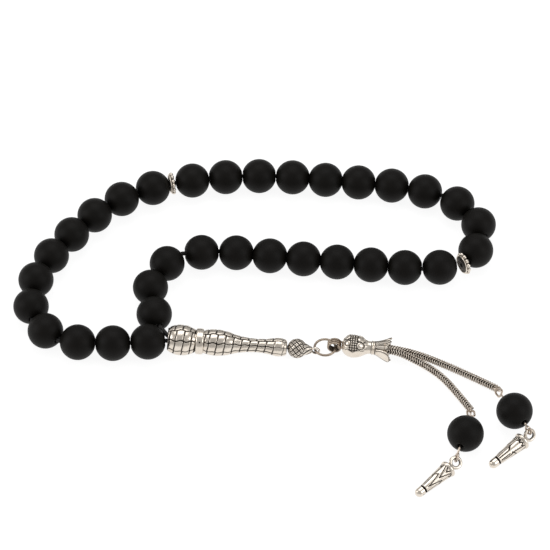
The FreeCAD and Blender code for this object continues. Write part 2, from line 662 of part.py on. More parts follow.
# ---------------------------------------------------------------- chains, eye pins and charms
def make_chain(strand):
    radius = size(S("chain_dia")) / 2
    swing = size(S("swing"))
    path, radii = rounded_path(strand.points)
    print(strand.side, "chain", round(Part.Wire(path).Length, 1), "long, bends",
          [round(value, 1) for value in radii])
    # The arcs beside the split take their length from the whole run, so both halves follow the one path.
    halves = split_path(path, strand.split)
    room = Part.makeSphere(radius / math.cos(math.radians(swing)) + size(S("turn_gap")), strand.split)
    upper = swept(halves[0], radius).cut(room)
    lower = swept(halves[1], radius).fuse(Part.makeSphere(radius, strand.split))
    solid(f"{strand.side}_chain_upper", upper)
    solid(f"{strand.side}_chain_lower", lower)
    link = Part.makeTorus(strand.link_radius, size(S("link_wire")) / 2, strand.link_centre, strand.pin_side)
    tube = swept(halves[1], radius)
    solid(f"{strand.side}_chain_link", link.cut(tube))


def split_path(edges, point):
    """Cuts a path in two at a point on one of its straight runs."""
    for index, edge in enumerate(edges):
        start, end = edge.valueAt(edge.FirstParameter), edge.valueAt(edge.LastParameter)
        if abs((start - point).Length + (end - point).Length - (end - start).Length) < 1e-6 and \
                isinstance(edge.Curve, Part.Line):
            first = edges[:index] + [Part.LineSegment(start, point).toShape()]
            second = [Part.LineSegment(point, end).toShape()] + edges[index + 1:]
            return first, second
    raise ValueError("the split is not on a straight run")


def make_pin(strand):
    """One wire: an oval loop on the chain's last ring, a straight shank through the bead and a round eye below."""
    wire = size(S("pin_wire")) / 2
    way = strand.pin_way
    half_long = size(S("pin_loop_long")) / 2 - wire
    half_wide = size(S("pin_loop_wide")) / 2 - wire
    loop_centre = strand.link_centre + way * half_long
    loop = oval_ring(loop_centre, way, strand.pin_side, half_long, half_wide, wire)
    eye_radius = size(S("pin_eye_dia")) / 2 - wire
    eye = Part.makeTorus(eye_radius, wire, strand.charm_pivot, strand.eye_tangent)
    shank_points = [
        loop_centre + way * half_long, strand.bead_top, strand.bead_bottom,
        strand.charm_pivot + strand.eye_rise * eye_radius,
    ]
    shank = swept(rounded_path(shank_points, wire)[0], wire)
    solid(f"{strand.side}_eye_pin", loop.fuse([shank, eye]))


def make_charm(strand):
    def half(dia):
        return f"{S(dia)} / 2"

    name = f"{strand.side}_charm"
    collar_far = f"({S('charm_collar_at')} + {S('charm_collar_wide')})"
    groove_far = f"({S('charm_groove_at')} + {S('charm_groove_wide')})"
    stem_start = f"(({S('charm_eye_dia')} - {S('charm_eye_wire')}) / 2)"
    body = turned(name + "_body", (
        ("0", stem_start),
        (half("charm_stem_dia"), stem_start),
        (half("charm_stem_dia"), S("charm_collar_at")),
        (half("charm_collar_dia"), S("charm_collar_at")),
        (half("charm_collar_dia"), collar_far),
        (half("charm_body_dia"), collar_far),
        (half("charm_tip_dia"), S("charm_groove_at")),
        (half("charm_groove_dia"), S("charm_groove_at")),
        (half("charm_groove_dia"), groove_far),
        (half("charm_tip_dia"), groove_far),
        (half("charm_tip_dia"), f"{S('charm_long')} - {half('charm_tip_dia')}"),
        ("0", S("charm_long"), "swell"),
    ))
    eye = primitive("Torus", name + "_eye", turn=Rotation(Vector(1, 0, 0), 90),
                    Radius1=f"({S('charm_eye_dia')} - {S('charm_eye_wire')}) / 2",
                    Radius2=f"{S('charm_eye_wire')} / 2")
    piece = fused(name, [body, eye])
    normal, way = strand.charm_normal, strand.charm_way
    piece.Placement = Placement(strand.charm_eye, Rotation(normal.cross(way) * -1, normal, way, "ZYX"))


def make_tassel_bead(strand):
    bead = make_bead(f"{strand.side}_tassel_bead")
    bead.Placement = Placement(strand.bead_centre, Rotation(Vector(0, 0, 1), strand.bead_way))


# ---------------------------------------------------------------- assembly
def build():
    beads = spacers = 0
    for _, kind, heading, centre in PLACES:
        if kind == "bead":
            beads += 1
            piece = make_bead(f"bead_{beads:02d}")
        else:
            spacers += 1
            piece = make_spacer(f"spacer_{spacers}")
        piece.Placement = Placement(centre, Rotation(Vector(0, 0, 1), flat_direction(heading)))
    make_threads()
    make_imame()
    make_terminal()
    make_ring_and_bail()
    make_cap()
    for strand in STRANDS:
        make_chain(strand)
        make_pin(strand)
        make_tassel_bead(strand)
        make_charm(strand)


TASSEL = [
    "imame", "imame_cord", "terminal_bead", "end_knot", "jump_ring", "coil_bail", "tassel_cap", "hanger_pin",
]
CORD_NODES = [
    f"{side}_{piece}" for side in ("front", "back")
    for piece in ("chain_upper", "chain_lower", "chain_link", "eye_pin", "tassel_bead", "charm")
]
NODES = [f"bead_{number:02d}" for number in range(1, 34)] + ["spacer_1", "spacer_2"]
NODES += ["thread_root", "thread_top", "thread_end", "thread_second"] + TASSEL + CORD_NODES


def centre_shift(pieces):
    """From the layout's origin to the middle of the object's footprint, its loose chains left out."""
    box = FreeCAD.BoundBox()
    for label, piece in pieces.items():
        if label not in CORD_NODES:
            box.add(piece.Shape.optimalBoundingBox(False))
    return Vector(-box.Center.x, -box.Center.y, 0)


def export():
    doc.recompute()
    for item in doc.Objects:
        if "Invalid" in item.State or "Error" in item.State:
            raise ValueError(f"{item.Label} failed")
    pieces = {item.Label: item for item in doc.Objects if item.Label in NODES}
    if sorted(pieces) != sorted(NODES):
        raise ValueError("a piece is missing")
    shift = centre_shift(pieces)
    os.makedirs("parts", exist_ok=True)
    for label, piece in pieces.items():
        piece.Placement = Placement(shift, Rotation()).multiply(piece.Placement)
    doc.recompute()
    for label, piece in pieces.items():
        if piece.Shape.isNull() or not piece.Shape.isValid():
            raise ValueError(f"{label} has no sound shape")
        piece.Shape.exportStep(f"parts/{label}.step")
    return shift


build()
SHIFT = export()
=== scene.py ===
"""A misbaha on a pale table: frosted onyx beads, oxidised cast silver and two foxtail chains.

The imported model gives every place. Cast pieces are turned here in millimetres, each about its own axis,
carved, and then set down in the model's frame.
"""

import json
import math
import random

import bmesh
import bpy
from mathutils import Matrix, Vector
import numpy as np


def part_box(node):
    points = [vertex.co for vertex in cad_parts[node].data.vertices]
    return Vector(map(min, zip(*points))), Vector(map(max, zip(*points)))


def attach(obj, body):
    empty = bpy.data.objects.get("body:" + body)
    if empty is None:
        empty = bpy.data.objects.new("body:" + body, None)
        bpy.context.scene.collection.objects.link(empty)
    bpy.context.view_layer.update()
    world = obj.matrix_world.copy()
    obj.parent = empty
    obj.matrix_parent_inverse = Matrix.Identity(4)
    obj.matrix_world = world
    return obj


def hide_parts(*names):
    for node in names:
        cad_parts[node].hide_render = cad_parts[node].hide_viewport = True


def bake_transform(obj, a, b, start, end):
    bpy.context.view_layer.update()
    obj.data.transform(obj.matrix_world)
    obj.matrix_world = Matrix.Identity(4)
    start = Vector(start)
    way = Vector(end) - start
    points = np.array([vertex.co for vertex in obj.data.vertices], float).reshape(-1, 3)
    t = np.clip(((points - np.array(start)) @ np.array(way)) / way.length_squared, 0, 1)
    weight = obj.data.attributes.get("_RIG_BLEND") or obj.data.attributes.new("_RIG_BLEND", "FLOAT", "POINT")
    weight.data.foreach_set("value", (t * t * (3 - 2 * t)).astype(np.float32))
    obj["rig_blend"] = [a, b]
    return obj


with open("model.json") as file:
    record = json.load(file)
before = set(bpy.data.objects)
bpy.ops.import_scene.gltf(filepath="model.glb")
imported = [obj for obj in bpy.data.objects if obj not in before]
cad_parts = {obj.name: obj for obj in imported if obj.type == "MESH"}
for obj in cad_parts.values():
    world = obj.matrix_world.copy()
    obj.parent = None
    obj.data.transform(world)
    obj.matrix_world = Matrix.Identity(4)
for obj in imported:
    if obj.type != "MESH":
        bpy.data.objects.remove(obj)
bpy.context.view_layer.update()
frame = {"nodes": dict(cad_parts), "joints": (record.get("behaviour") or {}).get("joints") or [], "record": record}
joint = {each["name"]: each for each in frame["joints"]}
MM = 0.001


# ------------------------------------------------------------------ places
def pivot(name):
    return Vector(joint[name]["pos_m"])


def bore_way(name):
    return Vector(joint[name]["axis"])


def heading(degrees, tilt=0):
    """A direction on the table, tipped down by tilt."""
    level = Vector((math.cos(math.radians(degrees)), math.sin(math.radians(degrees)), 0))
    return level * math.cos(math.radians(tilt)) - Vector((0, 0, math.sin(math.radians(tilt))))


def seat(origin, way, up):
    """A piece's own frame: z along its axis, x towards up, millimetres to metres."""
    z = way.normalized()
    y = z.cross(up).normalized()
    x = y.cross(z)
    place = Matrix((x, y, z)).transposed().to_4x4()
    place.translation = origin
    return place @ Matrix.Scale(MM, 4)


# ------------------------------------------------------------------ mesh tools
def bow(start, end, kind, spacing):
    """Points after start up to end, as (radius, height). A swell crests at its fuller end, a hollow dips at its
    thinner one, and None is straight."""
    rise, spread = end[1] - start[1], end[0] - start[0]
    count = max(1, round(math.hypot(rise, spread) / spacing))
    points = []
    for step in range(1, count + 1):
        height = start[1] + rise * step / count
        radius = start[0] + spread * step / count
        if kind is not None and step < count:
            arc = (rise ** 2 + spread ** 2) / (2 * abs(spread))
            fuller, thinner = (start, end) if spread < 0 else (end, start)
            level = fuller[1] if kind == "swell" else thinner[1]
            sag = arc - math.sqrt(max(0, arc ** 2 - (height - level) ** 2))
            radius = fuller[0] - sag if kind == "swell" else thinner[0] + sag
        points.append((radius, height))
    return points


def outline(corners, spacing):
    points = [corners[0][:2]]
    for before, corner in zip(corners, corners[1:]):
        points += bow(before[:2], corner[:2], corner[2] if len(corner) > 2 else None, spacing)
    return points


def spun(points, steps, closed=True):
    """Turns an outline of (radius, height) points about z."""
    bm = bmesh.new()
    bm.verts.layers.float.new("oxide_and_shade")
    corners = [bm.verts.new((radius, 0, height)) for radius, height in points]
    ring = corners + corners[:1] if closed else corners
    edges = [bm.edges.new(pair) for pair in zip(ring, ring[1:])]
    bmesh.ops.spin(bm, geom=corners + edges, cent=(0, 0, 0), axis=(0, 0, 1), angle=math.tau, steps=steps,
                   use_merge=True, use_duplicate=False)
    bmesh.ops.remove_doubles(bm, verts=bm.verts, dist=1e-4)
    bmesh.ops.recalc_face_normals(bm, faces=bm.faces)
    return bm


def carve(bm, relief):
    """Moves each point out by what relief(angle, height, radius) says, and keeps how dark the silver is there."""
    oxide_and_shade = bm.verts.layers.float["oxide_and_shade"]
    for vert in bm.verts:
        radius = math.hypot(vert.co.x, vert.co.y)
        if radius < 1e-6:
            continue
        rise, dark = relief(math.atan2(vert.co.y, vert.co.x), vert.co.z, radius)
        grown = (radius + rise) / radius
        vert.co.x *= grown
        vert.co.y *= grown
        vert[oxide_and_shade] = dark


def add_mesh(bm, mesh, place):
    """Adds a copy of a mesh, set in place."""
    copy = mesh.copy()
    copy.transform(place)
    bm.from_mesh(copy)
    bpy.data.meshes.remove(copy)


def as_mesh(bm, name):
    mesh = bpy.data.meshes.new(name)
    bm.to_mesh(mesh)
    bm.free()
    return mesh


def wire_ring(radius, wire, steps, sides, squash=1.0):
    """A ring of round wire about z, flattened across its plane by squash."""
    bm = bmesh.new()
    bm.verts.layers.float.new("oxide_and_shade")
    circle = bmesh.ops.create_circle(bm, segments=sides, radius=wire / 2)["verts"]
    stand = Matrix.Translation((radius, 0, 0)) @ Matrix.Rotation(math.pi / 2, 4, "X")
    bmesh.ops.transform(bm, matrix=stand, verts=circle)
    bmesh.ops.spin(bm, geom=circle + bm.edges[:], cent=(0, 0, 0), axis=(0, 0, 1), angle=math.tau, steps=steps,
                   use_merge=True, use_duplicate=False)
    bmesh.ops.remove_doubles(bm, verts=bm.verts, dist=1e-5)
    bmesh.ops.scale(bm, vec=(1, 1, squash), verts=bm.verts)
    bmesh.ops.recalc_face_normals(bm, faces=bm.faces)
    return bm


def finish_piece(name, bm, place, finish, slot, body, *stands_for):
    """Sets a piece down in the model's frame, smooth, and lets it ride on its body."""
    bmesh.ops.transform(bm, matrix=place, verts=bm.verts)
    bmesh.ops.recalc_face_normals(bm, faces=bm.faces)
    mesh = as_mesh(bm, name)
    mesh.polygons.foreach_set("use_smooth", [True] * len(mesh.polygons))
    mesh.materials.append(finish)
    piece = bpy.data.objects.new(name, mesh)
    bpy.context.scene.collection.objects.link(piece)
    if body is not None:
        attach(piece, body)
    if stands_for:
        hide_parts(*stands_for)
    return piece


# ------------------------------------------------------------------ finishes
def colour(code):
    """An sRGB hex code as linear red, green, blue and alpha."""
    parts = [int(code[place:place + 2], 16) / 255 for place in (1, 3, 5)]
    linear = [part / 12.92 if part <= 0.04045 else ((part + 0.055) / 1.055) ** 2.4 for part in parts]
    return (*linear, 1)


def add(tree, kind, settings=None, **links):
    """A node with its settings and input values. A value that is a socket is linked."""
    node = tree.nodes.new(kind)
    for key, value in (settings or {}).items():
        setattr(node, key, value)
    for key, value in links.items():
        socket = node.inputs[int(key[1:]) if key[0] == "i" and key[1:].isdigit() else key.replace("_", " ")]
        if isinstance(value, bpy.types.NodeSocket):
            tree.links.new(value, socket)
        else:
            socket.default_value = value
    return node


def finish_tree(name):
    made = bpy.data.materials.new(name)
    made.use_nodes = True
    tree = made.node_tree
    tree.nodes.clear()
    shader = add(tree, "ShaderNodeBsdfPrincipled")
    sink = add(tree, "ShaderNodeOutputMaterial")
    tree.links.new(shader.outputs["BSDF"], sink.inputs["Surface"])
    return made, tree, shader


def per_metre(millimetres):
    """A noise scale whose features are about this size."""
    return 1 / (millimetres * MM)


def frosted_onyx():
    """Black onyx, tumbled with grit instead of polished: a dead black body under a fine frosted skin."""
    made, tree, shader = finish_tree("frosted black onyx")
    where = add(tree, "ShaderNodeTexCoord").outputs["Object"]
    cloud = add(tree, "ShaderNodeTexNoise", Vector=where, Scale=per_metre(4), Detail=3.0)
    tone = add(tree, "ShaderNodeMix", {"data_type": "RGBA"}, i0=cloud.outputs["Fac"],
               i6=colour("#070604"), i7=colour("#0f0c09"))
    tree.links.new(tone.outputs[2], shader.inputs["Base Color"])
    # The grit leaves pits of about 0.1 mm, drawn at 0.25 mm so that they show.
    grit = add(tree, "ShaderNodeTexNoise", Vector=where, Scale=per_metre(0.25), Detail=2.0)
    skin = add(tree, "ShaderNodeBump", Height=grit.outputs["Fac"], Strength=0.12, Distance=0.03 * MM)
    tree.links.new(skin.outputs["Normal"], shader.inputs["Normal"])
    shader.inputs["Roughness"].default_value = 0.52
    shader.inputs["IOR"].default_value = 1.54
    shader.inputs["Specular IOR Level"].default_value = 0.11
    return made


def cast_silver():
    """Cast silver, dipped to blacken it and then buffed: bright on its high points, near black in each groove."""
    made, tree, shader = finish_tree("oxidised cast silver")
    where = add(tree, "ShaderNodeTexCoord").outputs["Object"]
    # The vertex darkness read here is oxide blackening grooves and hollows, plus painted shade on the inside of the
    # eye rings.
    dark = add(tree, "ShaderNodeAttribute", {"attribute_name": "oxide_and_shade"})
    # Casting grain of about 0.3 mm holds a little of the black.
    grain = add(tree, "ShaderNodeTexNoise", Vector=where, Scale=per_metre(0.3), Detail=4.0, Roughness=0.6)
    stain = add(tree, "ShaderNodeMapRange", Value=grain.outputs["Fac"], From_Min=0.62, From_Max=0.85,
                To_Min=0.0, To_Max=0.3)
    black = add(tree, "ShaderNodeMath", {"operation": "ADD", "use_clamp": True},
                i0=dark.outputs["Fac"], i1=stain.outputs["Result"])
    patina = add(tree, "ShaderNodeTexNoise", Vector=where, Scale=per_metre(2.5), Detail=2.0)
    silver = add(tree, "ShaderNodeMix", {"data_type": "RGBA"}, i0=patina.outputs["Fac"],
                 i6=colour("#ece4d9"), i7=colour("#d3c7b8"))
    tone = add(tree, "ShaderNodeMix", {"data_type": "RGBA"}, i0=black.outputs["Value"], i6=silver.outputs[2],
               i7=colour("#1d1815"))
    tree.links.new(tone.outputs[2], shader.inputs["Base Color"])
    rough = add(tree, "ShaderNodeMapRange", Value=black.outputs["Value"], To_Min=0.24, To_Max=0.7)
    tree.links.new(rough.outputs["Result"], shader.inputs["Roughness"])
    skin = add(tree, "ShaderNodeBump", Height=grain.outputs["Fac"], Strength=0.25, Distance=0.04 * MM)
    tree.links.new(skin.outputs["Normal"], shader.inputs["Normal"])
    shader.inputs["Metallic"].default_value = 1.0
    return made


def silver_wire(name, bright, dull, roughness):
    """Drawn silver wire: fine lines from the draw plate under a thin brown tarnish."""
    made, tree, shader = finish_tree(name)
    where = add(tree, "ShaderNodeTexCoord").outputs["Object"]
    tarnish = add(tree, "ShaderNodeTexNoise", Vector=where, Scale=per_metre(1.2), Detail=4.0)
    spread = add(tree, "ShaderNodeMapRange", Value=tarnish.outputs["Fac"], From_Min=0.35, From_Max=0.7)
    tone = add(tree, "ShaderNodeMix", {"data_type": "RGBA"}, i0=spread.outputs["Result"], i6=colour(bright),
               i7=colour(dull))
    # The vertex darkness read here is the dark joint and oxide in crevices, plus painted shade inside the rings, the
    # coil and the chain.
    dark = add(tree, "ShaderNodeAttribute", {"attribute_name": "oxide_and_shade"})
    deep = add(tree, "ShaderNodeMix", {"data_type": "RGBA"}, i0=dark.outputs["Fac"], i6=tone.outputs[2],
               i7=colour("#231d19"))
    tree.links.new(deep.outputs[2], shader.inputs["Base Color"])
    lines = add(tree, "ShaderNodeTexNoise", Vector=where, Scale=per_metre(0.2), Detail=2.0)
    skin = add(tree, "ShaderNodeBump", Height=lines.outputs["Fac"], Strength=0.15, Distance=0.02 * MM)
    tree.links.new(skin.outputs["Normal"], shader.inputs["Normal"])
    shader.inputs["Metallic"].default_value = 1.0
    shader.inputs["Roughness"].default_value = roughness
    return made


def waxed_thread():
    """Twisted black nylon, waxed: dull, with the twist as fine slanting ribs 0.4 mm apart."""
    made, tree, shader = finish_tree("waxed black thread")
    where = add(tree, "ShaderNodeTexCoord").outputs["Object"]
    twist = add(tree, "ShaderNodeTexWave", {"bands_direction": "DIAGONAL"}, Vector=where,
                Scale=per_metre(0.4) / 20, Distortion=0.5)
    tone = add(tree, "ShaderNodeMix", {"data_type": "RGBA"}, i0=twist.outputs["Fac"], i6=colour("#080706"),
               i7=colour("#1c1917"))
    tree.links.new(tone.outputs[2], shader.inputs["Base Color"])
    skin = add(tree, "ShaderNodeBump", Height=twist.outputs["Fac"], Strength=0.4, Distance=0.05 * MM)
    tree.links.new(skin.outputs["Normal"], shader.inputs["Normal"])
    shader.inputs["Roughness"].default_value = 0.7
    return made


def white_board():
    """A matt light table: most of its white comes from below, which lifts the shadows."""
    made, tree, shader = finish_tree("white light table")
    where = add(tree, "ShaderNodeTexCoord").outputs["Object"]
    fibre = add(tree, "ShaderNodeTexNoise", Vector=where, Scale=per_metre(1.5), Detail=2.0)
    tone = add(tree, "ShaderNodeMix", {"data_type": "RGBA"}, i0=fibre.outputs["Fac"], i6=colour("#787878"),
               i7=colour("#808080"))
    tree.links.new(tone.outputs[2], shader.inputs["Base Color"])
    shader.inputs["Roughness"].default_value = 1.0
    shader.inputs["Specular IOR Level"].default_value = 0.0
    shader.inputs["Emission Color"].default_value = colour("#ffffff")
    shader.inputs["Emission Strength"].default_value = 0.9
    return made


ONYX = frosted_onyx()
CAST = cast_silver()
RING_WIRE = silver_wire("tarnished ring wire", "#b3a493", "#85766a", 0.34)
PIN_WIRE = silver_wire("pin wire", "#d8cbbd", "#ab9b8c", 0.26)
CHAIN_WIRE = silver_wire("foxtail chain wire", "#e9dfd3", "#bfb1a3", 0.32)
THREAD = waxed_thread()


# ------------------------------------------------------------------ carving
def groove(distance, half_width):
    """1 on a groove's floor, falling smoothly to 0 at its lip."""
    near = max(0.0, 1 - abs(distance) / half_width)
    return near * near * (3 - 2 * near)


def inked(cut):
    """The black covers a groove's floor and most of its walls."""
    return min(1.0, cut * 1.9)


def pillow(along, across):
    """How full a scale is at this share of its length and width."""
    return (1 - (2 * along - 1) ** 4) * (1 - (2 * across - 1) ** 4)


# The imame's sizes, in millimetres from its mouth.
IMAME_PIVOT_AT = 1.2
SEAT_GAP = 0.15
SCALE_ROWS = 8
SCALE_LONG = 2.27
BULB_SCALES = (0.3, 2.0, 4.3, 6.45, 7.7)
BODY_SCALES_AT = 11.3
COLLAR = (7.85, 10.05)
COLLAR_PIT_TURN = 0.8
FOOT_RING = (29.7, 32.2)
IMAME_CORNERS = (
    (1.35, 2.0), (2.6, 2.0), (2.6, 0.0), (3.0, 0.0), (3.15, 0.15), (4.25, 3.7, "swell"), (3.2, 7.6, "swell"),
    (3.1, 7.85), (3.5, 7.95), (3.62, 8.2), (3.68, 8.95), (3.62, 9.7), (3.5, 9.95), (3.1, 10.05), (3.2, 10.3),
    (3.64, 13.2, "swell"), (2.6, 18.8, "swell"), (1.85, 25.0, "hollow"), (2.4, 29.6, "hollow"), (2.58, 31.0, "swell"),
    (2.4, 32.3, "swell"), (2.0, 33.2, "swell"), (1.9, 33.3), (1.35, 33.3),
)


def scale_edges():
    count = int((FOOT_RING[0] - BODY_SCALES_AT) / SCALE_LONG + 0.5)
    body = [BODY_SCALES_AT + SCALE_LONG * index for index in range(count + 1)]
    return list(BULB_SCALES) + list(COLLAR) + body + [FOOT_RING[1]]


EDGES = scale_edges()


def scales(angle, along, radius):
    """Rows of oblong scales between dark grooves. The grooves round the piece slant within each row."""
    if COLLAR[0] + 0.3 < along < COLLAR[1] - 0.3:
        pit = groove(math.hypot(along - sum(COLLAR) / 2, (angle - COLLAR_PIT_TURN) * radius), 0.4)
        return -0.1 * pit, inked(pit)
    if COLLAR[0] - 0.02 < along < COLLAR[1] + 0.02 or radius < 1.5 or (along < 2.1 and radius < 2.7):
        return 0.0, 0.7 if radius < 2.7 and along < 3 else 0.0
    row = (angle / math.tau * SCALE_ROWS + 0.06 * math.sin(along * 2.1)) % SCALE_ROWS
    across = row - math.floor(row)
    wide = math.tau * radius / SCALE_ROWS
    stagger = 0.3 * (math.floor(row) % 3 - 1)
    at = along + 0.45 * (across - 0.5) + stagger
    if along < BULB_SCALES[-1] and at > BULB_SCALES[-1]:
        at = BULB_SCALES[-1]
    nearest = min(EDGES, key=lambda edge: abs(edge - at))
    below = max([edge for edge in EDGES if edge <= at], default=EDGES[0])
    above = min([edge for edge in EDGES if edge > at], default=EDGES[-1])
    length = max(0.3, above - below)
    depth = 1.0 if along < FOOT_RING[0] else 0.45
    ring_groove = groove(at - nearest, 0.24)
    deep = abs(row - 1) < 0.5 and (1.4 < along < 6.2 or 11.2 < along < 15.4)
    row_groove = groove(min(across, 1 - across) * wide, 0.33 if deep else 0.24)
    cut = min(1.0, max(ring_groove, row_groove)) * depth
    full = pillow(min(1, max(0, (at - below) / length)), across)
    return 0.08 * full * depth - 0.18 * cut, inked(cut)


def make_imame():
    mouth_way = pivot("terminal_swing") - pivot("imame_swing")
    place = seat(pivot("imame_swing") - mouth_way.normalized() * IMAME_PIVOT_AT * MM, mouth_way, Vector((0, 0, 1)))
    bm = spun(outline(IMAME_CORNERS, 0.11), 208)
    carve(bm, scales)
    return finish_piece("scaled_imame", bm, place, CAST, "cast_silver", "imame", "imame")


# The terminal bead's sizes.
BALL_RADIUS = 2.68
BALL_REACH = 5.2
BALL_WEAVE = 10
EYE_RADIUS = 1.08
EYE_WIRE = 0.5


def basket(angle, along, radius):
    """Flat straps woven over and under each other on the bead's diagonals, running into a twisted neck."""
    if along > 2.1:
        turn = (angle / math.tau * 7 + along * 0.6) % 1
        line = groove(min(turn, 1 - turn) * 0.9, 0.22)
        return -0.16 * line, inked(line)
    if radius < 0.85:
        return 0.0, 0.6
    arc = math.atan2(along, radius) * BALL_WEAVE / math.tau
    one = angle / math.tau * BALL_WEAVE + arc
    other = angle / math.tau * BALL_WEAVE - arc
    over = (math.floor(one) + math.floor(other)) % 2
    lead, side = (one % 1, other % 1) if over else (other % 1, one % 1)
    gap = groove(min(side, 1 - side) * 1.1, 0.2)
    split = groove((side - 0.5) * 1.1, 0.12)
    dip = groove(min(lead, 1 - lead) * 1.1, 0.22)
    cut = min(1.0, max(gap, dip * 0.9, split * 0.55))
    return 0.06 - 0.18 * cut, inked(cut)


def make_terminal_bead():
    eye = pivot("ring_swing")
    from_imame = eye - pivot("terminal_swing")
    way = Vector((from_imame.x, from_imame.y, 0)).normalized()
    place = seat(eye - way * BALL_REACH * MM, way, Vector((0, 0, 1)))
    shoulder = math.sqrt(BALL_RADIUS ** 2 - 1.8 ** 2)
    back = [(BALL_RADIUS * math.sin(turn), -BALL_RADIUS * math.cos(turn))
            for turn in [math.radians(17 + step * 1.6) for step in range(76)]]
    neck = bow(back[-1], (0.95, 4.1), None, 0.1)
    inside = [(0.3, 4.2), (0.3, -2.0), (0.8, -2.2)]
    bm = spun(back + neck + inside, 160)
    carve(bm, basket)
    ring = wire_ring(EYE_RADIUS, EYE_WIRE, 40, 16, squash=1.5)
    # Painted shade on the inside of the eye.
    paint_ring_inside_shade(ring, EYE_RADIUS)
    mesh = as_mesh(ring, "terminal eye")
    # The eye's hole lies level, across the bead's length.
    add_mesh(bm, mesh, Matrix.Translation((0, 0, BALL_REACH)) @ Matrix.Rotation(math.pi / 2, 4, "X"))
    return finish_piece("woven_terminal_bead", bm, place, CAST, "cast_silver", "terminal", "terminal_bead")


def paint_ring_inside_shade(bm, radius):
    """Painted shade on the inside of a ring, darker towards its hole."""
    oxide_and_shade = bm.verts.layers.float["oxide_and_shade"]
    for vert in bm.verts:
        inner = radius - math.hypot(vert.co.x, vert.co.y)
        vert[oxide_and_shade] = min(1, max(0, inner / 0.2)) * 0.75


# ------------------------------------------------------------------ jump ring and bail
RING_RADIUS = 2.925
RING_THICK = 0.68


def make_jump_ring():
    """A ring of round wire with its cut ends pushed together and a dark joint between them."""
    low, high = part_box("jump_ring")
    bm = wire_ring(RING_RADIUS, RING_THICK, 128, 20)
    oxide_and_shade = bm.verts.layers.float["oxide_and_shade"]
    for vert in bm.verts:
        joint_gap = (math.atan2(vert.co.y, vert.co.x) - RING_JOINT_TURN) * RING_RADIUS
        vert[oxide_and_shade] = groove(joint_gap, 0.16)
    place = seat((low + high) / 2, Vector((0, 0, 1)), Vector((1, 0, 0)))
    return finish_piece("cut_jump_ring", bm, place, RING_WIRE, "silver_wire", "jump_ring", "jump_ring")


RING_JOINT_TURN = 2.1
BAIL_RADIUS = 1.66
BAIL_WIRE = 0.66
BAIL_PITCH = 0.68
BAIL_TURNS = 3.4
BAIL_HEADING = -94


def make_bail():
    """Three turns of one wire, side by side, with both ends tucked in."""
    low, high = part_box("coil_bail")
    centre = (low + high) / 2
    steps = int(BAIL_TURNS * 48)
    bm = bmesh.new()
    bm.verts.layers.float.new("oxide_and_shade")
    circle = bmesh.ops.create_circle(bm, cap_ends=True, segments=12, radius=BAIL_WIRE / 2)["verts"]
    stand = Matrix.Translation((BAIL_RADIUS, 0, -BAIL_PITCH * BAIL_TURNS / 2)) @ Matrix.Rotation(math.pi / 2, 4, "X")
    bmesh.ops.transform(bm, matrix=stand, verts=circle)
    start = bm.faces[:]
    bmesh.ops.spin(bm, geom=circle + bm.edges[:] + start, cent=(0, 0, 0), axis=(0, 0, 1),
                   dvec=(0, 0, BAIL_PITCH / 48), angle=math.tau * BAIL_TURNS, steps=steps,
                   use_merge=False, use_duplicate=False)
    # Painted shade on the inside of the coil.
    paint_ring_inside_shade(bm, BAIL_RADIUS)
    place = seat(centre, heading(BAIL_HEADING), Vector((0, 0, -1)))
    return finish_piece("coiled_bail", bm, place, RING_WIRE, "silver_wire", "bail", "coil_bail")


# ------------------------------------------------------------------ tassel cap
CAP_HEADING = -6.5
CAP_POLE_FROM_PIVOT = 0.385
CAP_CORNERS = (
    (0.5, 11.0), (0.5, 0.25), (1.6, 0.25), (3.25, 3.2, "swell"), (2.4, 6.2, "swell"), (1.75, 8.2, "hollow"),
    (1.68, 8.35), (1.95, 8.4), (1.98, 8.65), (1.9, 8.85), (1.75, 8.9), (1.9, 8.95), (1.98, 9.15), (1.9, 9.35),
    (1.7, 9.4), (1.6, 9.7), (1.5, 11.0),
)
# Each boss stands in the pattern on the upper side: angle round the cap from its top, height, half sizes.
BOSSES = (
    (-57, 1.75, 0.75, 0.8), (-15, 1.65, 0.75, 0.85), (25, 1.75, 0.75, 0.8),
    (-47, 5.5, 0.85, 0.85), (-3, 5.45, 0.95, 0.95), (36, 5.35, 0.95, 1.0),
)
CHECKER = (2.35, 4.45)
CHECKER_SPAN = 62


def sack(angle, along, radius):
    """A strip of small squares over the top of the bulb, and smooth oval bosses beside it in black outlines."""
    if radius < 1.0 or along > 7.6:
        return 0.0, 0.8 if 8.2 < along < 8.42 or 9.35 < along < 9.55 else 0.0
    round_from_top = math.degrees(angle)
    dark = 0.0
    rise = 0.0
    if CHECKER[0] - 0.2 < along < CHECKER[1] + 0.2 and abs(round_from_top) < CHECKER_SPAN + 4:
        across = math.radians(round_from_top) * 3.2
        square = 0.7
        columns = (along - CHECKER[0]) / square
        rows = across / square
        line = max(groove((columns - round(columns)) * square, 0.2), groove((rows - round(rows)) * square, 0.2))
        dark = inked(line)
    for boss_angle, boss_along, half_long, half_wide in BOSSES:
        x = (along - boss_along) / half_long
        y = math.radians(round_from_top - boss_angle) * 3.0 / half_wide
        out = math.hypot(x, y)
        if out < 1:
            dark = 0.0
            rise = 0.16 * (1 - out ** 3)
        dark = max(dark, inked(groove((out - 1.14) * half_long, 0.19)))
    edge = 66 + 5 * math.sin(along * 2.4)
    if 1.2 < along < 6.4:
        dark = max(dark, inked(groove((abs(round_from_top) - edge) * 0.055, 0.17)))
    seam = groove(radius * math.radians(abs(round_from_top) - 30), 0.12) if 6.6 < along < 7.4 else 0.0
    dark = min(1, max(dark, seam))
    return rise - 0.15 * dark, dark


# Each petal of the skirt: angle round the cap from its top, half width, length and how far its tip spreads.
PETALS = (
    (-50, 0.85, 4.3, 3.4), (-8, 0.8, 4.3, 3.2), (34, 0.85, 3.9, 2.9), (90, 1.8, 4.4, 4.1),
    (150, 1.2, 4.0, 2.9), (-160, 1.15, 4.0, 2.9), (-105, 1.0, 4.0, 3.0),
)
PETAL_START = 9.35
PETAL_THICK = 0.5


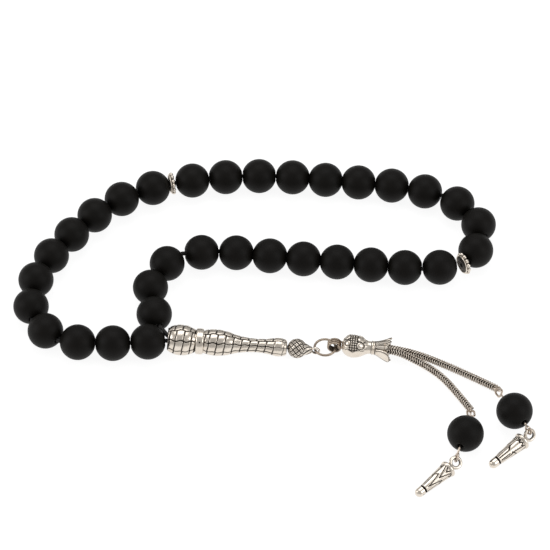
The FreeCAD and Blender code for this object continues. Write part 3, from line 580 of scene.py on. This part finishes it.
def make_petal(bm, angle, half_wide, length, spread):
    """A leaf with a rounded tip and a dark groove inside its edge, bent outwards from the neck."""
    leaf = bmesh.new()
    oxide_and_shade = leaf.verts.layers.float.new("oxide_and_shade")
    bmesh.ops.create_grid(leaf, x_segments=14, y_segments=22, size=1)
    for vert in leaf.verts:
        side, along = vert.co.x, (vert.co.y + 1) / 2
        tip = math.sqrt(max(0.0, 1 - max(0, (along - 0.72) / 0.28) ** 2))
        wide = half_wide * (0.5 + 0.5 * math.sin(min(1, along * 1.5) * math.pi / 2)) * max(0.05, tip)
        inset = min((1 - abs(side)) * wide, (1 - along) * length)
        line = inked(groove(inset - 0.2, 0.2)) if along > 0.08 else 0.0
        crown = 0.22 * (1 - side ** 2) * half_wide
        out = 1.7 + (spread - 1.9) * along ** 1.4 + crown - 0.1 * line
        vert.co = Vector((out, side * wide, PETAL_START + along * length))
        vert[oxide_and_shade] = max(line, 0.9 * groove(along - 0.0, 0.08))
    bmesh.ops.recalc_face_normals(leaf, faces=leaf.faces)
    bmesh.ops.solidify(leaf, geom=leaf.faces[:], thickness=PETAL_THICK)
    bmesh.ops.recalc_face_normals(leaf, faces=leaf.faces)
    mesh = as_mesh(leaf, "petal")
    add_mesh(bm, mesh, Matrix.Rotation(math.radians(angle), 4, "Z"))


def make_cap():
    way = heading(CAP_HEADING)
    place = seat(pivot("cap_swing") + way * CAP_POLE_FROM_PIVOT * MM, way, Vector((0, 0, 1)))
    bm = spun(outline(CAP_CORNERS, 0.09), 208)
    carve(bm, sack)
    for petal in PETALS:
        make_petal(bm, *petal)
    return finish_piece("sack_cap", bm, place, CAST, "cast_silver", "cap", "tassel_cap")


# ------------------------------------------------------------------ spacers
SPACER_RIM = 2.72
GRANULES = 12


def make_spacer(name, wire_side):
    """A wire ring and a ring of round granules, soldered side by side on a short tube."""
    centre, way = pivot(name + "_spin"), bore_way(name + "_spin")
    half = [(0.8, 0.72), (1.5, 0.72), (1.6, 0.56), (2.55, 0.5), (2.7, 0.3)]
    bm = spun([(radius, -height) for radius, height in half] + half[::-1], 64)
    oxide_and_shade = bm.verts.layers.float["oxide_and_shade"]
    for vert in bm.verts:
        vert[oxide_and_shade] = 0.85
    ring = as_mesh(wire_ring(2.65, 0.36, 64, 10), name + " wire")
    add_mesh(bm, ring, Matrix.Translation((0, 0, 0.56 * wire_side)))
    shake = random.Random(name)
    for index in range(GRANULES):
        ball = bmesh.new()
        layer = ball.verts.layers.float.new("oxide_and_shade")
        bmesh.ops.create_icosphere(ball, subdivisions=3, radius=0.58)
        for vert in ball.verts:
            vert[layer] = min(1, max(0, (0.12 - vert.co.x) / 0.25))
        mesh = as_mesh(ball, name + " granule")
        turn = math.tau * (index + shake.uniform(-0.08, 0.08)) / GRANULES
        size = Matrix.Diagonal((1, shake.uniform(1.0, 1.15), shake.uniform(0.9, 1.1), 1))
        lift = Matrix.Translation((SPACER_RIM, 0, -0.14 * wire_side))
        add_mesh(bm, mesh, Matrix.Rotation(turn, 4, "Z") @ lift @ size)
    place = seat(centre, way, Vector((0, 0, 1)))
    return finish_piece(name + "_granulated", bm, place, CAST, "cast_silver", name, name)


# ------------------------------------------------------------------ foxtail chains
# The points that each chain follows, in metres.
FRONT_ROUTE = (
    (0.03597, -0.03345, 0.00395), (0.03937, -0.03400, 0.00365), (0.04317, -0.03530, 0.00225),
    (0.04757, -0.03740, 0.00125), (0.05177, -0.04150, 0.00125), (0.05537, -0.04700, 0.00125),
    (0.05867, -0.05260, 0.00125),
)
BACK_ROUTE = (
    (0.03617, -0.03155, 0.00245), (0.04057, -0.03210, 0.00195), (0.04577, -0.03330, 0.00125),
    (0.05217, -0.03660, 0.00125), (0.05917, -0.04070, 0.00125), (0.06597, -0.04500, 0.00125),
)
CHAIN_DIA = 2.25
CHAIN_ROWS = 6
LINK_PITCH = 0.72
LINK_WIRE = 0.4
LINK_LEAN = 0.7
# Width of a black tube inside the chain: painted shade that shows between the links.
SHADE_CORE_DIA = 1.2


def route_curve(name, route, thickness=0.0):
    curve = bpy.data.curves.new(name, "CURVE")
    curve.dimensions = "3D"
    spline = curve.splines.new("NURBS")
    spline.points.add(len(route) - 1)
    for point, place in zip(spline.points, route):
        point.co = (*place, 1)
    spline.order_u = 3
    spline.use_endpoint_u = True
    spline.resolution_u = 24
    curve.bevel_depth = thickness
    curve.bevel_resolution = 2
    curve.use_fill_caps = True
    return bpy.data.objects.new(name, curve)


def route_points(name, route):
    line = route_curve(name, route)
    points = [vert.co.copy() for vert in bpy.data.meshes.new_from_object(line).vertices]
    bpy.data.objects.remove(line)
    return points


def stations(points, spacing):
    """Places and directions along a line, evenly spaced."""
    lengths = [0.0]
    for before, after in zip(points, points[1:]):
        lengths.append(lengths[-1] + (after - before).length)
    count = round(lengths[-1] / spacing)
    found, index = [], 0
    for step in range(count + 1):
        want = lengths[-1] * step / count
        while index < len(points) - 2 and lengths[index + 1] < want:
            index += 1
        share = (want - lengths[index]) / (lengths[index + 1] - lengths[index])
        way = (points[index + 1] - points[index]).normalized()
        found.append((points[index].lerp(points[index + 1], share), way))
    return found


def link_mesh():
    """One turn of the weave: a wire that leans forwards and back round the chain, drawn in where rows meet."""
    middle = (CHAIN_DIA - LINK_WIRE) / 2
    bm = wire_ring(middle, LINK_WIRE, 48, 8)
    oxide_and_shade = bm.verts.layers.float["oxide_and_shade"]
    for vert in bm.verts:
        angle = math.atan2(vert.co.y, vert.co.x)
        radius = math.hypot(vert.co.x, vert.co.y)
        row = angle / math.tau * CHAIN_ROWS
        lean = 1 - abs(row % 2 - 1)
        meeting = abs(row % 1 - 0.5) * 2
        drawn = 1 - 0.26 * meeting ** 3
        # Darker on the inside of the link: painted shade. Darker where rows meet: oxide in the crevice and painted
        # shade.
        vert[oxide_and_shade] = min(1, max(0.0, (middle - 0.04 - radius) / 0.12) + 0.8 * meeting ** 6)
        vert.co.x *= drawn
        vert.co.y *= drawn
        vert.co.z += LINK_LEAN * (lean - 0.5)
    return as_mesh(bm, "foxtail link")


def make_chain(side, route, roll):
    points = route_points(side + " line", route)
    bm = bmesh.new()
    bm.verts.layers.float.new("oxide_and_shade")
    # A black tube down the chain's middle, black all over: painted shade seen through the gaps in the weave.
    shade_core = route_curve(side + " core", route, SHADE_CORE_DIA / 2 * MM)
    bm.from_mesh(bpy.data.meshes.new_from_object(shade_core))
    bpy.data.objects.remove(shade_core)
    oxide_and_shade = bm.verts.layers.float["oxide_and_shade"]
    for vert in bm.verts:
        vert[oxide_and_shade] = 1.0
    link = link_mesh()
    for place, way in stations(points, LINK_PITCH * MM):
        up = Matrix.Rotation(math.radians(roll), 3, way) @ Vector((0, 0, 1))
        add_mesh(bm, link, seat(place, way, up))
    bpy.data.meshes.remove(link)
    chain = finish_piece(side + "_foxtail_chain", bm, Matrix.Identity(4), CHAIN_WIRE, "silver_chain", None,
                         side + "_chain_upper", side + "_chain_lower")
    split = pivot(side + "_chain_swing")
    nearest = min(stations(points, LINK_PITCH * MM), key=lambda each: (each[0] - split).length)
    reach = nearest[1] * 4 * MM
    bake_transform(chain, "cap", side + "_chain", start=tuple(split - reach), end=tuple(split + reach))
    return chain, points


# ------------------------------------------------------------------ cone charms
BEAD_EXIT = 5.385
CHARM_TILT = 5.32
CHARM_EYE_RADIUS = 1.45
CHARM_EYE_WIRE = 0.95
CHARM_CORNERS = (
    (0.0, 1.45), (0.8, 1.5), (0.85, 2.35), (1.9, 2.4), (2.25, 2.5), (2.4, 2.75), (2.4, 3.05), (2.25, 3.3),
    (2.0, 3.4), (2.08, 3.6), (1.3, 11.9), (1.15, 12.0), (1.15, 12.35), (1.3, 12.45), (1.28, 13.5),
    (1.0, 14.35, "swell"), (0.55, 14.7), (0.0, 14.78),
)


def segment_gap(x, y, start, end):
    """How far a point is from a line on the surface."""
    along = Vector((end[0] - start[0], end[1] - start[1]))
    away = Vector((x - start[0], y - start[1]))
    share = min(1, max(0, away.dot(along) / along.length_squared))
    return (away - along * share).length


# Lines cut in a charm, as runs of (eighths of a turn from the middle of a face or side, millimetres from the eye).
# Chevrons that point to the tip cross each face. Long panels, under a zigzag band, fill the sides.
FACE_LINES = (
    ((0.8, 3.5), (-0.08, 7.2)), ((-0.08, 7.2), (-0.9, 3.5)), ((-0.9, 3.5), (-1.6, 4.4)),
    ((0.4, 3.5), (-0.06, 4.7)), ((-0.06, 4.7), (-0.4, 3.5)),
    ((1.6, 7.7), (0.6, 6.6)), ((0.6, 6.6), (-0.16, 11.0)), ((-0.16, 11.0), (-0.9, 6.9)), ((-0.9, 6.9), (-1.6, 7.9)),
)
SIDE_LINES = (
    ((1.0, 4.0), (0.9, 12.0)), ((0.95, 7.2), (0.45, 8.1)), ((0.3, 8.1), (0.33, 11.6)),
    ((-0.75, 3.8), (-0.55, 7.6)), ((-0.55, 7.6), (-0.8, 8.2)), ((-0.8, 8.2), (-0.95, 11.6)),
    ((-0.4, 8.7), (-0.5, 11.3)),
    ((-0.8, 3.7), (-0.45, 4.6)), ((-0.45, 4.6), (-0.15, 3.7)), ((-0.15, 3.7), (0.2, 4.6)),
    ((0.2, 4.6), (0.5, 3.7)), ((0.5, 3.7), (0.8, 4.6)),
)


def line_gaps(lines, middle, reach, angle, along, radius):
    """How far each of a face's or side's lines is, if the point is on it."""
    turn = (angle - middle + math.pi) % math.tau - math.pi
    eighth = radius * math.pi / 4
    if abs(turn) > reach:
        return []
    return [
        segment_gap(turn * radius, along, (start[0] * eighth, start[1]), (end[0] * eighth, end[1]))
        for start, end in lines
    ]


def chevrons(angle, along, radius):
    """Cut lines on the cone, blackened, with small pits in the rounded tip."""
    if along < 2.4:
        return 0.0, 0.5 if radius < 1 else 0.0
    if along < 3.42:
        return 0.0, 0.0
    if 11.9 < along < 12.45:
        return 0.0, 1.0
    if along > 12.45:
        pit = groove(math.hypot((angle - 0.5) * 1.2, along - 13.2), 0.35)
        other = groove(math.hypot((angle + 2.4) * 1.2, along - 13.5), 0.35)
        cut = max(pit, other)
        return -0.12 * cut, cut * 0.9
    gaps = [1.0]
    for middle in (math.pi / 2, -math.pi / 2):
        gaps += line_gaps(FACE_LINES, middle, math.pi * 0.42, angle, along, radius)
        gaps += line_gaps(SIDE_LINES, middle + math.pi / 2, math.pi / 4, angle, along, radius)
    cut = groove(min(gaps), 0.22)
    collar = groove(along - 3.42, 0.3) * 0.9
    return -0.16 * cut, max(inked(cut), collar)


def charm_seat(side, degrees, roll):
    """Where a charm hangs: its eye's middle, its axis and the way its eye faces."""
    way = heading(degrees, CHARM_TILT)
    level = heading(degrees + 90)
    up = way.cross(level)
    faces = up * math.cos(math.radians(roll)) + level * math.sin(math.radians(roll))
    hang = pivot(side + "_charm_swing")
    bottom = pivot(side + "_tassel_bead_spin") + bore_way(side + "_tassel_bead_spin") * BEAD_EXIT * MM
    toward = bottom - hang
    toward = (toward - faces * toward.dot(faces)).normalized()
    return seat(hang - toward * CHARM_EYE_RADIUS * MM, way, faces.cross(way))


def make_charm(side, degrees, roll, pattern_turn):
    def relief(angle, along, radius):
        return chevrons(angle - math.radians(pattern_turn), along, radius)

    bm = spun(outline(CHARM_CORNERS, 0.1), 176, closed=False)
    carve(bm, relief)
    ring = wire_ring(CHARM_EYE_RADIUS, CHARM_EYE_WIRE, 64, 20)
    oxide_and_shade = ring.verts.layers.float["oxide_and_shade"]
    for vert in ring.verts:
        out = math.hypot(vert.co.x, vert.co.y) - CHARM_EYE_RADIUS
        line = groove(vert.co.z, 0.16) if out > 0 else 0.0
        # inner: painted shade on the inside of the eye; the line round its outside is a cut groove.
        inner = min(1, max(0, (-0.25 - out) / 0.2))
        vert[oxide_and_shade] = max(line, inner)
        vert.co.x *= 1 - 0.05 * line
        vert.co.y *= 1 - 0.05 * line
    add_mesh(bm, as_mesh(ring, side + " eye"), Matrix.Rotation(math.pi / 2, 4, "X"))
    place = charm_seat(side, degrees, roll)
    return finish_piece(side + "_cone_charm", bm, place, CAST, "cast_silver", side + "_charm", side + "_charm")


# ------------------------------------------------------------------ the model's own pieces
def refinish(node, finish):
    mesh = frame["nodes"][node].data
    mesh.materials.clear()
    mesh.materials.append(finish)


def refinish_all():
    for entry in frame["record"]["subparts"]:
        node, kind = entry["node"], entry["material_slot"]
        if kind == "black_onyx":
            refinish(node, ONYX)
        elif kind == "black_thread":
            refinish(node, THREAD)
        elif node == "hanger_pin":
            refinish(node, RING_WIRE)
        else:
            refinish(node, PIN_WIRE)


# ------------------------------------------------------------------ table, light and camera
CAMERA_AIM = Vector((0.00500, -0.00220, 0.0))
CAMERA_ELEVATION = 48.53
CAMERA_DISTANCE = 0.881
CAMERA_LENS = 201.8


def make_table():
    bm = bmesh.new()
    bmesh.ops.create_grid(bm, x_segments=1, y_segments=1, size=1.5)
    mesh = as_mesh(bm, "table")
    mesh.materials.append(white_board())
    table = bpy.data.objects.new("table", mesh)
    table.location.z = -0.00005
    bpy.context.scene.collection.objects.link(table)


def soft_box(name, place, size, power):
    light = bpy.data.lights.new(name, "AREA")
    light.shape = "RECTANGLE"
    light.size, light.size_y = size
    light.energy = power
    lamp = bpy.data.objects.new(name, light)
    lamp.location = place
    lamp.rotation_euler = (-Vector(place)).to_track_quat("-Z", "Y").to_euler()
    bpy.context.scene.collection.objects.link(lamp)


def light_scene():
    world = bpy.data.worlds.new("studio")
    bpy.context.scene.world = world
    world.use_nodes = True
    world.node_tree.nodes["Background"].inputs["Color"].default_value = colour("#ffffff")
    world.node_tree.nodes["Background"].inputs["Strength"].default_value = 0.5
    soft_box("overhead", (0.0, 0.25, 0.7), (0.7, 0.5), 2.0)
    soft_box("left", (-0.7, -0.1, 0.35), (0.4, 0.5), 1.6)
    soft_box("right", (0.6, -0.3, 0.4), (0.3, 0.5), 1.2)
    bpy.context.scene.view_settings.view_transform = "Standard"


def make_camera():
    lens = bpy.data.cameras.new("camera")
    lens.lens = CAMERA_LENS
    lens.sensor_width = 36
    camera = bpy.data.objects.new("camera", lens)
    lift = math.radians(CAMERA_ELEVATION)
    away = Vector((0, -math.cos(lift), math.sin(lift)))
    camera.location = CAMERA_AIM + away * CAMERA_DISTANCE
    camera.rotation_euler = away.to_track_quat("Z", "Y").to_euler()
    bpy.context.scene.collection.objects.link(camera)
    bpy.context.scene.camera = camera


# ------------------------------------------------------------------ assembly
make_camera()
light_scene()
make_table()
refinish_all()
make_imame()
make_terminal_bead()
make_jump_ring()
make_bail()
make_cap()
make_spacer("spacer_1", -1)
make_spacer("spacer_2", 1)
for side, route, chain_roll, charm_heading, charm_roll, pattern_turn in (
    ("front", FRONT_ROUTE, 5, 222.5, 34, 0), ("back", BACK_ROUTE, 36, 221, 57, -67),
):
    chain, points = make_chain(side, route, chain_roll)
    charm = make_charm(side, charm_heading, charm_roll, pattern_turn)
